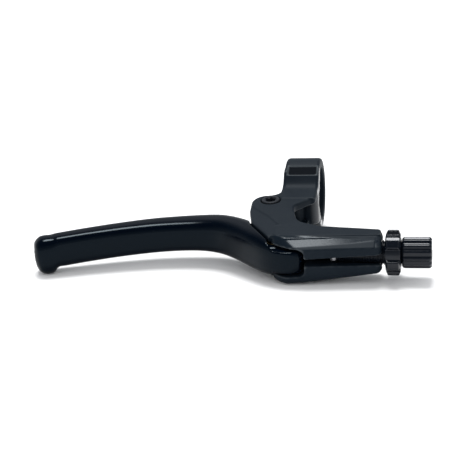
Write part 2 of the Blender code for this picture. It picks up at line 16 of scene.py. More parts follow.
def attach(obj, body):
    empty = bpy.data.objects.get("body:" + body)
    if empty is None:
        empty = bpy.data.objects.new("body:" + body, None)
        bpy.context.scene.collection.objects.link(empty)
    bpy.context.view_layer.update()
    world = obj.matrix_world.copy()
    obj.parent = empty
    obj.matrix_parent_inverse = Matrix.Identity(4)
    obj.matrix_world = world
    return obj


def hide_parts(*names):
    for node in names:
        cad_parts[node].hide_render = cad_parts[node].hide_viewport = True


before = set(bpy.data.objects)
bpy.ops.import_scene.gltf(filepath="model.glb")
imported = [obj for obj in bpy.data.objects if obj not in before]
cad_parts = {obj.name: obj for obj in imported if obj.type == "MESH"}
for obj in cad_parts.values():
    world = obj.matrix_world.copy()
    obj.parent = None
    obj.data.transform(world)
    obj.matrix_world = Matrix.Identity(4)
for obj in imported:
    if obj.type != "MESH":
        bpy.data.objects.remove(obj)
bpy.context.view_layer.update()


# ---- Bracket ----
# The body that holds everything: two pivot plates, the arm with the cable slot and the clamp band, in one
# piece. It is a gravity casting in aluminium alloy, tumbled so that its edges are soft, then bored, sawn
# and sprayed satin black. It is pinched on the bar by the clamp screw.

MM = 0.001                       # metres in a millimetre
BORE_R = 11.25                   # clamp bore for a 22.2 mm bar
BAND_R = 15.3                    # outside of the clamp band
BAND_X = (-7.2, 7.6)             # side faces of the band, along the bar
PIVOT = (-10.7, -26.0)           # pivot axis, parallel to Z
CABLE_Y = -57.0                  # cable axis, parallel to X at Z = 0
ARM_X = (7.3, 37.1)              # where the solid arm begins and ends
PLATE_Z = (-9.3, 8.3)            # outer faces of the two plates
FACE_Z = 8.6                     # raised flat of the upper plate
FACE_FALL = 0.0402               # how much it falls for each step along the arm
BLADE_ROOM_Z = 5.4               # half height of the space between the plates
PIVOT_HOLE_R = 2.7
HEAD_SEAT_R = 4.1                # counterbore for the head of the pivot bolt
HEAD_SEAT_Z = 6.7                # and its floor
NUT_SEAT = 4.25                  # half width of the hexagon for the pivot's nut
NUT_SEAT_Z = -6.5                # and its floor
KEEPER = (18.4, -61.6)           # axis of the small pin in the cable slot
KEEPER_HOLE_R = 1.6
REACH_Y = -18.1                  # axis of the reach screw, parallel to X at Z = 0
REACH_HOLE_R = 2.3
INSERT_SEAT_R = 3.4              # pocket of the nylon ring behind the reach screw's thread
INSERT_SEAT_X = -15.2            # and its middle
CLAMP_SCREW = (-3.0, -15.3)      # axis of the clamp screw, parallel to Z
CLAMP_POST_R = 3.8
CLAMP_HOLE_R = 2.7
SAW_CUT_Z = (-8.9, -8.1)
EAR_Z = -12.0                    # underside of the sawn ear
NECK_HOLLOW = 10.0               # radius of the hollow curve from the band down to the upper plate
NECK_CORNER = 4.2                # radius of the hollow corner between the band and the arm
BARREL_HOLE_R = 5.2
CABLE_HOLE_R = 3.4
PLATE_OUTLINE = [
    (-7.5, -9.0, 0), (-7.5, -20.9, 5.0), (-18.9, -21.0, 6.6), (-18.0, -36.0, 20.0), (-15.7, -46.4, 0.8),
    (-7.0, -59.6, 0.8), (-4.0, -60.2, 0), (10.0, -60.0, 0), (20.0, -56.0, 0), (20.0, -51.2, 0),
    (12.0, -50.2, 8.0), (2.6, -45.8, 8.0), (-0.6, -31.5, 5.0), (7.5, -22.6, 6.0), (7.5, -9.0, 0)]
RAISED_OUTLINE = [
    (-7.2, -9.0, 0), (-7.2, -20.9, 5.2), (-18.6, -21.3, 6.4), (-17.6, -33.0, 9.0), (-9.6, -42.0, 4.0),
    (1.2, -58.6, 3.0), (7.0, -60.0, 6.0), (36.2, -56.4, 1.0), (36.2, -51.6, 1.0),
    (12.0, -50.5, 8.0), (2.4, -46.1, 8.0), (-0.9, -31.5, 5.0), (7.2, -22.8, 6.0), (7.2, -9.0, 0)]
BLADE_ROOM_OUTLINE = np.array([(-40, -15.9), (12, -15.9), (12, -47), (5.3, -50), (5.3, -90), (-40, -90)])
BLADE_ROOM_MOUTH = 2.0           # radius of the room's rim under the arm
EAR_OUTLINE = [(-7.5, -5, 0), (-7.5, -20.4, 4.5), (1.6, -20.4, 4.5), (4, -11, 2), (4, -5, 0)]
ARM_SHOULDER_Z = 6.1             # where the arm's front turns into its sloped panel
PANEL_DEPTH = 0.32               # how far the panel lies under its rim
NOSE_SLOPE = (-0.367, -0.652, 0.663)  # direction that the facet at the arm's outer corner faces
NOSE_POINT = (-1.7, -61.5, 8.5)  # a point on it
POCKET_TILT = math.radians(64.0)  # how far the pocket in the band's crown is turned up from the front
POCKET_X = 0.6                   # its middle along the bar
POCKET_HALF = (6.1, 2.5)         # half its length and half its width
POCKET_DEPTH = 0.75
CASTING_STEP = 0.42              # spacing of the points at which the casting's field is sampled

SATIN_BLACK = (0.0034, 0.0068, 0.0115, 1.0)
SATIN_WORN = (0.0056, 0.0095, 0.0145, 1.0)
# paler colour at convex edges: partly worn paint, partly a painted highlight of the edges' reflections
SATIN_EDGE_WEAR_AND_HIGHLIGHT = (0.045, 0.052, 0.058, 1.0)
# the pocket's floor, darkened with painted shade
POCKET_PAINTED_SHADE = (0.001, 0.002, 0.004, 1.0)


class Wire:
    """One output of a node. Arithmetic on it adds Math nodes, and node() adds any other node beside it."""

    def __init__(self, tree, socket):
        self.tree = tree
        self.socket = socket

    def node(self, kind, settings=None, inputs=None, output=0):
        """Adds a node: its settings are set first, then its inputs get their values or links."""
        made = self.tree.nodes.new("ShaderNode" + kind)
        settings = dict(settings or {})
        stops = settings.pop("stops", None)
        for name, value in settings.items():
            setattr(made, name, value)
        if stops:
            ramp = made.color_ramp.elements
            while len(ramp) < len(stops):
                ramp.new(1.0)
            for element, (position, color) in zip(ramp, stops):
                element.position = position
                element.color = color
        for name, value in (inputs or {}).items():
            if isinstance(value, Wire):
                self.tree.links.new(value.socket, made.inputs[name])
            else:
                made.inputs[name].default_value = value
        return Wire(self.tree, made.outputs[output])

    def math(self, operation, first, second=0.0):
        """A Math node on two values."""
        return self.node("Math", {"operation": operation}, {0: first, 1: second})

    def __abs__(self):
        return self.math("ABSOLUTE", self)

    def __add__(self, other):
        return self.math("ADD", self, other)

    __radd__ = __add__

    def __sub__(self, other):
        return self.math("SUBTRACT", self, other)

    def __rsub__(self, other):
        return self.math("SUBTRACT", other, self)

    def __mul__(self, other):
        return self.math("MULTIPLY", self, other)

    __rmul__ = __mul__

    def between(self, low, high):
        """0 where the value is under low, 1 over high, and smooth between."""
        inputs = {"Value": self, "From Min": low, "From Max": high}
        return self.node("MapRange", {"interpolation_type": "SMOOTHSTEP"}, inputs)

    def mix(self, first, second):
        """The colour first where this is 0 and second where it is 1."""
        inputs = {"Factor": self, 6: first, 7: second}
        return self.node("Mix", {"data_type": "RGBA"}, inputs, 2)

    def noise(self, scale, detail=2.0, roughness=0.5):
        """Cloudy noise from 0 to 1 about 0.5 on these coordinates; scale is in cells per metre."""
        inputs = {"Vector": self, "Scale": scale, "Detail": detail, "Roughness": roughness}
        return self.node("TexNoise", {}, inputs)

    def part(self, axis):
        """The X, Y or Z of these coordinates, in metres."""
        return self.node("SeparateXYZ", {}, {0: self}, "XYZ".index(axis))


def new_material(name, slot_color, **constants):
    """A Principled material with its constant sockets set, its shader, and a Wire of Object coordinates."""
    material = bpy.data.materials.new(name)
    material.use_nodes = True
    material.diffuse_color = slot_color
    tree = material.node_tree
    shader = tree.nodes["Principled BSDF"]
    shader.inputs["Base Color"].default_value = slot_color
    for socket, value in constants.items():
        shader.inputs[socket.replace("_", " ")].default_value = value
    coordinates = tree.nodes.new("ShaderNodeTexCoord")
    return material, shader, Wire(tree, coordinates.outputs["Object"])


def feed(shader, **wires):
    """Links values that vary over the surface to the shader's sockets."""
    for socket, wire in wires.items():
        wire.tree.links.new(wire.socket, shader.inputs[socket.replace("_", " ")])


def bumped(height, distance_mm, strength=1.0):
    """A bent normal from a height between 0 and 1, which stands distance_mm high."""
    return height.node("Bump", {}, {"Height": height, "Distance": distance_mm * MM, "Strength": strength})


def satin_paint():
    """Satin black sprayed on a casting: a fine grain, a broad unevenness of gloss, and edges made paler,
    partly as worn paint and partly as painted highlight. The rim of the band's pocket is lightened with
    painted highlight, and its floor is dull and darkened with painted shade. The band's side towards the
    adjuster, the hollow corner under it and the arm's sloped panel are slick."""
    material, shader, place = new_material("satin_black_paint", SATIN_BLACK, Specular_IOR_Level=0.12,
                                           Specular_Tint=(0.85, 0.94, 1.0, 1.0), Coat_Roughness=0.06)
    grain = place.noise(1900.0, 3.0, 0.6)
    peel = place.noise(420.0, 2.0, 0.5)
    cloud = place.noise(60.0, 3.0, 0.55)
    # edge: the convexity attribute, used to pale the edges both as worn paint and as a painted highlight
    edge = place.node("Attribute", {"attribute_name": "edge"}, {}, "Fac").between(0.06, 0.22)
    across, back, up = place.part("X"), place.part("Y"), place.part("Z")
    outward = up * math.sin(POCKET_TILT) - back * math.cos(POCKET_TILT)
    around = back * math.sin(POCKET_TILT) + up * math.cos(POCKET_TILT)
    beyond = abs(across - POCKET_X * MM) - POCKET_HALF[0] * MM
    beyond = beyond.math("MAXIMUM", beyond, abs(around) - POCKET_HALF[1] * MM)
    # crown and inside mark the pocket in the band's crown, whose floor takes a painted shade; the mask also
    # reaches the bore's inside under the crown, where the same painted shade and rim show
    crown = outward.between(-3.0 * MM, -2.0 * MM)
    inside = crown * beyond.between(0.1 * MM, -0.4 * MM)
    # the pocket's rim, painted paler as a highlight of its rounded edges
    pocket_rim_highlight = crown * beyond.between(-0.5 * MM, 0.0) * beyond.between(0.75 * MM, 0.25 * MM)
    side = across.between(7.45 * MM, 7.55 * MM) * back.between(-17.0 * MM, -16.0 * MM)
    side = side * back.between(-2.0 * MM, -6.0 * MM)
    wall = across.between(3.6 * MM, 7.0 * MM) * up.between(5.9 * MM, 5.5 * MM)
    wall = wall * back.between(-27.0 * MM, -25.0 * MM) * back.between(-11.0 * MM, -13.0 * MM)
    facet = up.between(6.2 * MM, 6.5 * MM) * back.between(-59.4 * MM, -60.0 * MM)
    worn = cloud.between(0.35, 0.75).mix(SATIN_BLACK, SATIN_WORN)
    # base colour: a random worn tone, edges paler (worn paint and painted highlight), the pocket's rim a
    # painted highlight and its floor a painted shade
    feed(shader, Base_Color=edge.math("MAXIMUM", edge, pocket_rim_highlight).mix(inside.mix(worn, POCKET_PAINTED_SHADE), SATIN_EDGE_WEAR_AND_HIGHLIGHT),
         Roughness=0.46 + cloud * 0.08 + grain * 0.08 + inside * 0.3 - facet * 0.30,
         Coat_Weight=side * 0.8 + wall * 0.8,
         Normal=bumped(grain * 0.55 + peel * 0.45, 0.05, 0.35))
    return material


def mark_edges(mesh):
    """Stores how far each vertex stands out of the mean of its neighbours, over the mean length of its
    edges, as the attribute edge: above 0 on ridges, 0 on flats. It is then blurred twice over the
    neighbours."""
    count = len(mesh.vertices)
    place, normal = np.empty(count * 3, np.float32), np.empty(count * 3, np.float32)
    mesh.vertices.foreach_get("co", place)
    mesh.vertex_normals.foreach_get("vector", normal)
    place, normal = place.reshape(-1, 3), normal.reshape(-1, 3)
    ends = np.empty(len(mesh.edges) * 2, np.int32)
    mesh.edges.foreach_get("vertices", ends)
    first, second = ends.reshape(-1, 2).T
    length = np.linalg.norm(place[first] - place[second], axis=1)
    near = np.bincount(first, minlength=count) + np.bincount(second, minlength=count)
    spread = (np.bincount(first, length, count) + np.bincount(second, length, count)) / near

    def beside(value):
        """The mean of a value over each vertex's neighbours."""
        return (np.bincount(first, value[second], count) + np.bincount(second, value[first], count)) / near

    mean = np.stack([beside(place[:, k]) for k in range(3)], axis=-1)
    edge = ((place - mean) * normal).sum(axis=1) / spread
    for _ in range(2):
        edge = (edge + beside(edge)) / 2
    mesh.attributes.new("edge", "FLOAT", "POINT").data.foreach_set("value", edge.astype(np.float32))
    return mesh


def smooth_object(mesh, material, sharp_degrees=180.0):
    """A piece at the origin, named as its mesh, shaded smooth except across edges sharper than an angle."""
    mesh.materials.append(material)
    mesh.shade_smooth()
    mesh.set_sharp_from_angle(angle=math.radians(sharp_degrees))
    piece = bpy.data.objects.new(mesh.name, mesh)
    bpy.context.scene.collection.objects.link(piece)
    return piece


def rounded(corners, steps=10):
    """An outline of (u, v, radius) corners as an array of points: each corner becomes an arc that touches
    both of its sides, whose centre lies on the corner's bisector at radius / sin(half the corner's
    angle)."""
    places = np.array([corner[:2] for corner in corners], float)
    points = []
    for k, (u, v, radius) in enumerate(corners):
        place = places[k]
        back, ahead = places[k - 1] - place, places[(k + 1) % len(corners)] - place
        back, ahead = back / np.hypot(*back), ahead / np.hypot(*ahead)
        if radius == 0:
            points.append(place[None])
            continue
        half = math.acos(float(back @ ahead)) / 2
        middle = (back + ahead) / np.hypot(*(back + ahead))
        across = (ahead - back) / np.hypot(*(ahead - back))
        turn = np.linspace(half - math.pi / 2, math.pi / 2 - half, steps)[:, None]
        centre = place + middle * radius / math.sin(half)
        points.append(centre + radius * (np.sin(turn) * across - np.cos(turn) * middle))
    return np.vstack(points)


def outline_distance(u, v, points):
    """Distance in a plane to a closed outline, negative inside: the shortest distance to any of its sides,
    with the sign from how many sides a line to the right of the place crosses."""
    nearest = np.full(np.broadcast(u, v).shape, np.inf)
    inside = np.zeros(nearest.shape, bool)
    for (u0, v0), (u1, v1) in zip(points, np.roll(points, -1, axis=0)):
        along_u, along_v = u1 - u0, v1 - v0
        share = np.clip(((u - u0) * along_u + (v - v0) * along_v) / (along_u ** 2 + along_v ** 2), 0.0, 1.0)
        nearest = np.minimum(nearest, (u - u0 - share * along_u) ** 2 + (v - v0 - share * along_v) ** 2)
        if v0 != v1:
            inside ^= ((v0 > v) != (v1 > v)) & (u < u0 + (v - v0) * along_u / along_v)
    return np.where(inside, -1.0, 1.0) * np.sqrt(nearest)


def either(first, second, blend):
    """Union of two fields; where they are within blend of each other, a hollow curve fills their
    meeting."""
    share = np.clip(0.5 + 0.5 * (second - first) / blend, 0.0, 1.0)
    return second + (first - second) * share - blend * share * (1.0 - share)


def both(first, second, blend):
    """What two fields share; where they are within blend of each other, the edge is rounded."""
    return -either(-first, -second, blend)


def shared(*fields):
    """What several fields share, with sharp edges."""
    return functools.reduce(np.maximum, fields)


def without(first, second, blend):
    """The first field less the second, with a rounded edge."""
    return both(first, -second, blend)


def span(value, low, high):
    """Distance outside a range, negative inside it."""
    return abs(value - (low + high) / 2) - (high - low) / 2


def block(x, y, z, low, high, blend=0.6):
    """An upright block between two corners, with rounded edges."""
    plan = both(span(x, low[0], high[0]), span(y, low[1], high[1]), blend)
    return both(plan, span(z, low[2], high[2]), blend)


def rise(value, low, high):
    """0 under low, 1 over high, and a smooth step between."""
    share = np.clip((value - low) / (high - low), 0.0, 1.0)
    return share * share * (3.0 - 2.0 * share)


def arm_field(x, y, z):
    """The arm beside the blade: flat faces that taper to its end, each a distance to a plane. The sloped
    panel lies under the rim at its top and its far end, and sinks further below a line that rises towards
    the end."""
    along = (x - ARM_X[0]) / (ARM_X[1] - ARM_X[0])
    front = -67.3 + 3.6 * along + 6.0 * (np.maximum(1.5 - x, 0.0) / 7.5) ** 2
    top = 8.3 - 1.2 * along
    panel_top = np.minimum(-60.6 + 4.0 * along, front + 7.5)
    low = -9.5 + 2.6 * np.maximum(along, 0.0)
    slope = np.arctan2(top - ARM_SHOULDER_Z, panel_top - front)
    across = (y - front) * np.cos(slope) + (z - ARM_SHOULDER_Z) * np.sin(slope)
    width = (panel_top - front) / np.cos(slope)
    above = (z - ARM_SHOULDER_Z) * np.cos(slope) - (y - front) * np.sin(slope)
    inset = np.minimum(width - 0.5 - across, ARM_X[1] - 2.4 - x)
    sunk = rise(inset, 0.0, 0.45)
    facet = np.maximum(0.22 + 0.5 * (x - 19.0) / 16.0 - across / width, 0.0)
    panel = above + PANEL_DEPTH * sunk + sunk * np.minimum(facet * 0.5, 0.3) * rise(x, 17.0, 20.0)
    body = both(front - y, low - z, 3.6)
    body = both(body, panel, 0.7)
    body = both(body, both(y + 50.0 + 0.7 * along, z - top, 1.8), 0.7)
    body = both(body, low - z, 1.6)
    nose = (NOSE_SLOPE[0] * (x - NOSE_POINT[0]) + NOSE_SLOPE[1] * (y - NOSE_POINT[1])
            + NOSE_SLOPE[2] * (z - NOSE_POINT[2]))
    body = both(body, nose, 0.9)
    return both(body, span(x, -6.2, ARM_X[1]), 2.6)


def clamp_field(x, y, z):
    """The band round the bar, and the wedge that joins it to the upper plate. The wedge's front is hollow:
    a cylinder that touches both the band's outside and the plate's face."""
    around = np.hypot(y, z)
    width = span(x, *BAND_X)
    band = both(around - BAND_R, width, 1.6)
    reach, height = BAND_R + NECK_HOLLOW, FACE_Z + NECK_HOLLOW
    middle = -math.sqrt(reach ** 2 - height ** 2)
    wedge = shared(NECK_HOLLOW - np.hypot(y - middle, z - height), z - 14.0, y + 5.0, middle - 7.0 - y,
                   5.6 - z, z - FACE_Z - 5.4 * (y > middle))
    return band, both(wedge, width, 1.6)


def bracket_field(x, y, z):
    """Distance to the casting's skin, negative inside."""
    plate = outline_distance(x, y, rounded(PLATE_OUTLINE))
    raised = outline_distance(x, y, rounded(RAISED_OUTLINE))
    body = both(plate, span(z, *PLATE_Z), 0.9)
    body = either(body, both(raised, span(z, -8.0, FACE_Z), 0.9), 0.35)
    body = both(body, z - FACE_Z + FACE_FALL * (x - ARM_X[0]), 0.4)
    body = either(body, arm_field(x, y, z), 0.5)

    room = outline_distance(x, y, BLADE_ROOM_OUTLINE)
    body = without(body, both(room, abs(z) - BLADE_ROOM_Z, 0.8), 0.5)
    mouth_x, mouth_z = x - ARM_X[0] + BLADE_ROOM_MOUTH, abs(z) - BLADE_ROOM_Z + BLADE_ROOM_MOUTH
    mouth = np.hypot(np.maximum(mouth_x, 0), np.maximum(mouth_z, 0))
    mouth = mouth + np.minimum(np.maximum(mouth_x, mouth_z), 0) - BLADE_ROOM_MOUTH
    body = without(body, both(mouth, y + 50.0, 0.5), 0.8)

    body = without(body, block(x, y, z, (-12, -21.6, -20), (12, -5, SAW_CUT_Z[1])), 0.6)
    band, wedge = clamp_field(x, y, z)
    body = either(body, wedge, 0.8)
    body = either(body, band, 0.8)
    side, front, radius = BAND_X[1], BLADE_ROOM_OUTLINE[0][1], NECK_CORNER
    corner = np.hypot(np.maximum(x - side + radius, 0.0), np.minimum(y - front - radius, 0.0)) - radius
    corner = shared(-corner, side - radius - x, y - front - radius, -27.0 - y)
    body = without(body, both(corner, span(z, SAW_CUT_Z[1], BLADE_ROOM_Z), 0.5), 0.5)
    screw = np.hypot(x - CLAMP_SCREW[0], y - CLAMP_SCREW[1])
    body = either(body, np.maximum(screw - CLAMP_POST_R, span(z, SAW_CUT_Z[1], 8.0)), 1.0)
    ear = outline_distance(x, y, rounded(EAR_OUTLINE))
    body = either(body, both(ear, span(z, EAR_Z, SAW_CUT_Z[0]), 0.9), 0.6)
    body = without(body, block(x, y, z, (-12, -23, SAW_CUT_Z[0]), (12, -3, SAW_CUT_Z[1]), 0.01), 0.25)
    body = both(body, BORE_R - np.hypot(y, z), 0.7)

    outward = -y * math.cos(POCKET_TILT) + z * math.sin(POCKET_TILT) - BAND_R
    around = y * math.sin(POCKET_TILT) + z * math.cos(POCKET_TILT)
    pocket = both(abs(x - POCKET_X) - POCKET_HALF[0], abs(around) - POCKET_HALF[1], 1.2)
    body = without(body, both(pocket, -POCKET_DEPTH - outward, 0.9), 0.9)
    body = without(body, np.maximum(screw - CLAMP_HOLE_R, z - 5.6), 0.4)

    body = either(body, block(x, y, z, (-17.9, -16.2, -4.0), (-7.0, -13.6, 4.0)), 0.8)
    body = either(body, block(x, y, z, (-18.2, -21.9, -5.0), (-14.9, -13.9, 4.3), 1.6), 0.8)
    body = either(body, block(x, y, z, (-17.6, -22.6, -6.2), (-15.2, -19.8, 6.2)), 0.8)
    reach = np.hypot(y - REACH_Y, z)
    body = without(body, np.maximum(reach - REACH_HOLE_R, x + 14.0), 0.5)
    body = without(body, np.maximum(reach - INSERT_SEAT_R, abs(x - INSERT_SEAT_X) - 1.3), 0.4)

    cable = np.hypot(y - CABLE_Y, z)
    body = without(body, np.maximum(cable - BARREL_HOLE_R, 19.0 - x), 0.8)
    body = without(body, np.maximum(cable - CABLE_HOLE_R, abs(x - 7.5) - 17.5), 0.5)
    along = (x - ARM_X[0]) / (ARM_X[1] - ARM_X[0])
    slot = shared(z - 1.6 - 0.3 * along, -1.3 - 0.9 * along - z, y - CABLE_Y, ARM_X[0] - 3.0 - x)
    body = without(body, slot, 0.7)
    pin = np.hypot(x - KEEPER[0], y - KEEPER[1])
    body = without(body, np.maximum(pin - KEEPER_HOLE_R, abs(z - 2.6) - 2.6), 0.3)

    pivot = np.hypot(x - PIVOT[0], y - PIVOT[1])
    body = without(body, pivot - PIVOT_HOLE_R, 0.4)
    body = without(body, np.maximum(pivot - HEAD_SEAT_R, HEAD_SEAT_Z - z), 0.8)
    nut = shared(*(abs((x - PIVOT[0]) * math.cos(turn) + (y - PIVOT[1]) * math.sin(turn)) - NUT_SEAT
                   for turn in np.radians((0.0, 60.0, 120.0))))
    return without(body, np.maximum(nut, z - NUT_SEAT_Z), 0.5)


def surface_net(name, field, low, high, step):
    """The surface where a field is zero, as one closed mesh of four-sided faces. Each cell of the sampling
    grid that the surface crosses gets a point at the mean of the crossings on its twelve edges, and each
    crossed edge gets a face between the four cells round it. The points then slide down the field's slope
    onto the surface: each moves by the field over the slope's length, by at most a third of a cell,
    twice."""
    axes = [np.arange(a, b, step) for a, b in zip(low, high)]
    value = field(axes[0][:, None, None], axes[1][None, :, None], axes[2][None, None, :])
    cells = [len(axis) - 1 for axis in axes]
    count = np.zeros(cells, np.int32)
    total = np.zeros((*cells, 3), np.float32)
    crossings = []
    for axis in range(3):
        near, far = (np.moveaxis(value, axis, 0)[part] for part in (slice(None, -1), slice(1, None)))
        crossed = np.moveaxis((near < 0) != (far < 0), 0, axis)
        with np.errstate(divide="ignore", invalid="ignore"):
            share = np.moveaxis(np.where((near < 0) != (far < 0), near / (near - far), 0.0), 0, axis)
        crossings.append((crossed, np.moveaxis(near < 0, 0, axis)))
        others = [k for k in range(3) if k != axis]
        for shift in ((0, 0), (0, 1), (1, 0), (1, 1)):
            window = [slice(None)] * 3
            for other, offset in zip(others, shift):
                window[other] = slice(offset, offset + cells[other])
            window = tuple(window)
            count += crossed[window]
            total[..., axis] += share[window]
            for other, offset in zip(others, shift):
                total[..., other] += offset * crossed[window]
    used = count > 0
    index = np.full(cells, -1)
    index[used] = np.arange(np.count_nonzero(used))
    points = (np.argwhere(used) + total[used] / count[used][:, None]) * step + np.array([a[0] for a in axes])
    faces = []
    for axis, (crossed, inward) in enumerate(crossings):
        first, second = (axis + 1) % 3, (axis + 2) % 3
        place = np.argwhere(crossed)
        keep = (place[:, first] > 0) & (place[:, second] > 0)
        place = place[keep & (place[:, first] < cells[first]) & (place[:, second] < cells[second])]
        corners = []
        for back_first, back_second in ((1, 1), (0, 1), (0, 0), (1, 0)):
            cell = place.copy()
            cell[:, first] -= back_first
            cell[:, second] -= back_second
            corners.append(index[tuple(cell.T)])
        quad = np.stack(corners, axis=-1)
        flip = ~inward[tuple(place.T)]
        quad[flip] = quad[flip][:, ::-1]
        faces.append(quad)
    for _ in range(2):
        here = field(*points.T)
        nudge = 0.02
        slope = np.stack([field(*(points + shift).T) - here for shift in np.eye(3) * nudge], axis=-1) / nudge
        move = here[:, None] * slope / np.maximum((slope ** 2).sum(axis=1), 0.25)[:, None]
        points = points - np.clip(move, -step / 3, step / 3)
    mesh = bpy.data.meshes.new(name)
    mesh.from_pydata((points * MM).tolist(), [], np.vstack(faces).tolist())
    return mesh


satin_black_paint = satin_paint()
casting = surface_net("bracket_casting", bracket_field, (-20.1, -71.1, -17.1), (39, 17, 17), CASTING_STEP)
bracket = smooth_object(mark_edges(casting), satin_black_paint)
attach(bracket, "bracket")
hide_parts("bracket")


# ---- Lever blade ----
# The curved finger blade with its ball end, its hub round the pivot and the tongue that carries the cable
# anchor. It is one aluminium casting, polished along its length and sprayed gloss black.

TONGUE_Z = 4.6                   # half height of the blade between the plates
ANCHOR = (-5.0, -57.0)           # axis of the cable anchor, parallel to Z
HUB_Z = 3.6                      # half height of the hub round the bushes
HUB_BORE_R = 4.6
FLANGE_SEAT_R = 5.9              # room for the bushes' flanges
ANCHOR_BORE_R = 3.1
ANCHOR_SEAT_R = 3.5              # counterbore for the anchor's upper flange
CLIP_SEAT_R = 4.5                # counterbore for its washer and clip
WIRE_SLOT = 1.2                  # half width of the slot that the cable's wire lies in
BLADE_STEP = 0.36                # spacing of the points at which the blade's field is sampled
# x, y, z of the middle line from ball to root, half depth, half height and squareness of the section
BLADE_ROWS = np.array([
    (-104.1, -59.6, -1.3, 0.05, 0.05, 2.4), (-103.8, -59.5, -1.3, 3.4, 4.6, 2.4),
    (-102.9, -59.1, -1.25, 4.8, 6.5, 2.6), (-101.2, -58.4, -1.2, 5.5, 7.6, 2.9),
    (-99.4, -57.6, -1.2, 5.6, 7.8, 3.0), (-97.6, -56.9, -1.1, 5.4, 7.6, 3.0),
    (-96.4, -56.4, -0.35, 5.1, 6.8, 3.2), (-95.4, -55.95, 0, 5.0, 6.6, 3.3),
    (-93.6, -55.2, 0, 5.0, 6.65, 3.4), (-84.3, -51.25, 0, 5.1, 6.65, 3.4), (-72.0, -46.55, 0, 5.4, 6.6, 3.4),
    (-58.0, -42.35, 0, 5.8, 6.6, 3.4), (-47.0, -40.4, 0, 6.1, 6.6, 3.4), (-38.0, -39.75, 0, 6.3, 6.8, 3.4),
    (-31.0, -40.4, 0, 6.5, 7.2, 3.4), (-25.0, -42.8, 0, 6.6, 7.4, 3.4), (-18.3, -47.5, 0, 6.7, 7.5, 3.6),
    (-11.1, -53.6, 0, 6.9, 7.5, 4.0), (-5.0, -58.9, 0, 6.7, 7.2, 4.0), (0.2, -62.0, 0, 5.8, 6.9, 3.8),
    (4.6, -63.0, 0, 4.6, 5.7, 2.8), (6.4, -63.3, 0, 2.8, 3.6, 2.4), (6.8, -63.4, 0, 0.05, 0.05, 2.4)])
TONGUE_OUTLINE = [
    (-16.2, -20.5, 5.4), (-5.2, -20.5, 5.4), (-5.4, -42.0, 6.0), (0.4, -48.0, 5.0), (2.2, -62.5, 3.0),
    (-8.0, -62.5, 3.0), (-17.5, -50.0, 1.0), (-16.6, -40.0, 5.0), (-16.2, -32.0, 4.0)]
PLATE_ROOM = np.array([
    (-16.2, -46.6), (-7.7, -60.0), (-6.9, -62.9), (-5.3, -65.4), (-2.8, -67.7), (1.5, -68.6), (12, -67.6),
    (12, -20), (-25, -20), (-25, -36), (-18.6, -36)])
GLOSS_BLACK = (0.0005, 0.0017, 0.0042, 1.0)
DUST_GREY = (0.02, 0.022, 0.026, 1.0)


def through(rows, per_span):
    """Rows joined by a smooth curve: each value is the cubic through the two rows beside it, whose slopes
    there are half the step between the rows before and after."""
    padded = np.vstack([rows[:1], rows, rows[-1:]])
    t = np.linspace(0.0, 1.0, per_span, endpoint=False)[None, :, None]
    p0, p1, p2, p3 = (padded[k:len(padded) - 3 + k, None, :] for k in range(4))
    curve = 0.5 * (2 * p1 + (p2 - p0) * t + (2 * p0 - 5 * p1 + 4 * p2 - p3) * t ** 2
                   + (3 * p1 - p0 - 3 * p2 + p3) * t ** 3)
    return np.vstack([curve.reshape(-1, rows.shape[1]), rows[-1:]])


def blade_field(x, y, z):
    """Distance to the blade's skin. Along the middle line its section is a squarish oval: the offset across
    and the height, each over its half size, raised to the squareness and added, make 1 on the skin. Room is
    cut for the plates, and the tongue, the heel, the bores and the wire's slot follow."""
    rows = through(BLADE_ROWS, 6)
    nearest = np.full(np.broadcast(x, y).shape, np.inf)
    row = np.zeros(nearest.shape)
    for k, (start, end) in enumerate(zip(rows[:-1], rows[1:])):
        along_x, along_y = end[0] - start[0], end[1] - start[1]
        share = ((x - start[0]) * along_x + (y - start[1]) * along_y) / (along_x ** 2 + along_y ** 2)
        share = np.clip(share, 0.0, 1.0)
        gap = (x - start[0] - share * along_x) ** 2 + (y - start[1] - share * along_y) ** 2
        row = np.where(gap < nearest, k + share, row)
        nearest = np.minimum(nearest, gap)
    middle, depth, height, power = (np.interp(row, np.arange(len(rows)), column) for column in rows.T[2:])
    across, up = np.sqrt(nearest), abs(z - middle)
    oval = ((across / depth) ** power + (up / height) ** power) ** (1 / power)
    body = np.hypot(across, up) * (1.0 - 1.0 / np.maximum(oval, 0.05))
    room = outline_distance(x, y, PLATE_ROOM)
    body = without(body, both(room, TONGUE_Z - abs(z), 0.6), 0.7)
    tongue = both(outline_distance(x, y, rounded(TONGUE_OUTLINE)), abs(z) - TONGUE_Z, 0.5)
    body = either(body, tongue, 1.2)
    body = either(body, block(x, y, z, (-13.3, -24.0, -3.0), (-8.3, -17.1, 3.0), 1.0), 1.5)
    hub = np.hypot(x - PIVOT[0], y - PIVOT[1])
    body = without(body, hub - HUB_BORE_R, 0.3)
    body = without(body, both(hub - FLANGE_SEAT_R, HUB_Z - abs(z), 0.2), 0.4)
    anchor = np.hypot(x - ANCHOR[0], y - ANCHOR[1])
    body = without(body, anchor - ANCHOR_BORE_R, 0.3)
    body = without(body, both(anchor - ANCHOR_SEAT_R, 3.7 - z, 0.2), 0.3)
    body = without(body, both(anchor - CLIP_SEAT_R, z + 3.0, 0.2), 0.3)
    low, high = (ANCHOR[0], ANCHOR[1] - WIRE_SLOT, -9), (20, ANCHOR[1] + WIRE_SLOT, WIRE_SLOT)
    return without(body, block(x, y, z, low, high, 0.1), 0.5)


